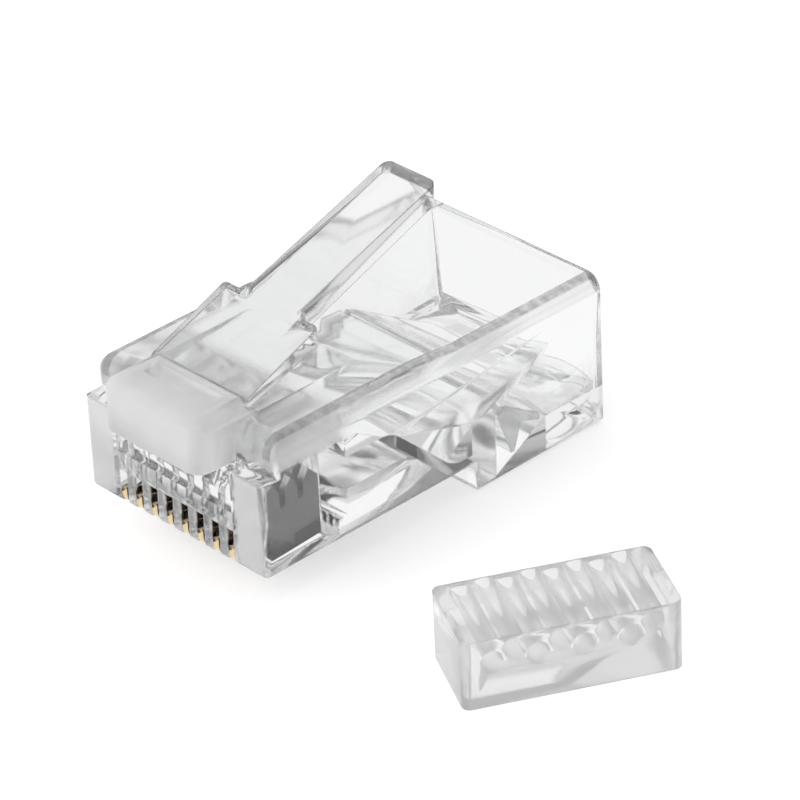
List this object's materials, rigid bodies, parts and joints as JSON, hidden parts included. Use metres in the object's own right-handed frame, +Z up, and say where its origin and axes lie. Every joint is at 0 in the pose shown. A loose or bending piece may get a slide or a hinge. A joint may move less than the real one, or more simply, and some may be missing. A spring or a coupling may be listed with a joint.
{
  "type": "modular cable plug",
  "caption": "Clear modular plug for twisted-pair cable with gold-plated contacts, springy latch and separate wire guide.",
  "frame": {"origin": "middle of the flat land under the cable entry, which the plug rests on", "axes": "+X across the plug, +Y from the contacts to the cable entry, +Z up, towards the latch"},
  "size_m": [0.0278, 0.0222, 0.0135],
  "materials": {
    "clear_shell": "glossy, transparent polycarbonate",
    "clear_guide": "glossy, transparent polycarbonate, slightly milky",
    "contact_metal": "polished gold plating over nickel"
  },
  "bodies": {
    "plug": {"housing": "clear_shell", "wire_guide": "clear_guide"},
    "latch_body": {"latch": "clear_shell"},
    "blade_1": {"contact_1": "contact_metal"},
    "blade_2": {"contact_2": "contact_metal"},
    "blade_3": {"contact_3": "contact_metal"},
    "blade_4": {"contact_4": "contact_metal"},
    "blade_5": {"contact_5": "contact_metal"},
    "blade_6": {"contact_6": "contact_metal"},
    "blade_7": {"contact_7": "contact_metal"},
    "blade_8": {"contact_8": "contact_metal"},
    "clamp_body": {"cable_clamp": "clear_shell"}
  },
  "joints": [
    {"name": "latch_press", "type": "hinge", "parent": "plug", "child": "latch_body", "pos_m": [0, -0.0173, 0.00851], "axis": [1, 0, 0], "range_deg": [-15, 0], "stiffness_Nm_per_rad": 0.02},
    {"name": "crimp_1", "type": "slide", "parent": "plug", "child": "blade_1", "axis": [0, 0, 1], "range_m": [0, 0.0009]},
    {"name": "crimp_2", "type": "slide", "parent": "plug", "child": "blade_2", "axis": [0, 0, 1], "range_m": [0, 0.0009]},
    {"name": "crimp_3", "type": "slide", "parent": "plug", "child": "blade_3", "axis": [0, 0, 1], "range_m": [0, 0.0009]},
    {"name": "crimp_4", "type": "slide", "parent": "plug", "child": "blade_4", "axis": [0, 0, 1], "range_m": [0, 0.0009]},
    {"name": "crimp_5", "type": "slide", "parent": "plug", "child": "blade_5", "axis": [0, 0, 1], "range_m": [0, 0.0009]},
    {"name": "crimp_6", "type": "slide", "parent": "plug", "child": "blade_6", "axis": [0, 0, 1], "range_m": [0, 0.0009]},
    {"name": "crimp_7", "type": "slide", "parent": "plug", "child": "blade_7", "axis": [0, 0, 1], "range_m": [0, 0.0009]},
    {"name": "crimp_8", "type": "slide", "parent": "plug", "child": "blade_8", "axis": [0, 0, 1], "range_m": [0, 0.0009]},
    {"name": "clamp_turn", "type": "hinge", "parent": "plug", "child": "clamp_body", "pos_m": [0, -0.0046, 0.00325], "axis": [1, 0, 0], "range_deg": [0, 28]}
  ]
}
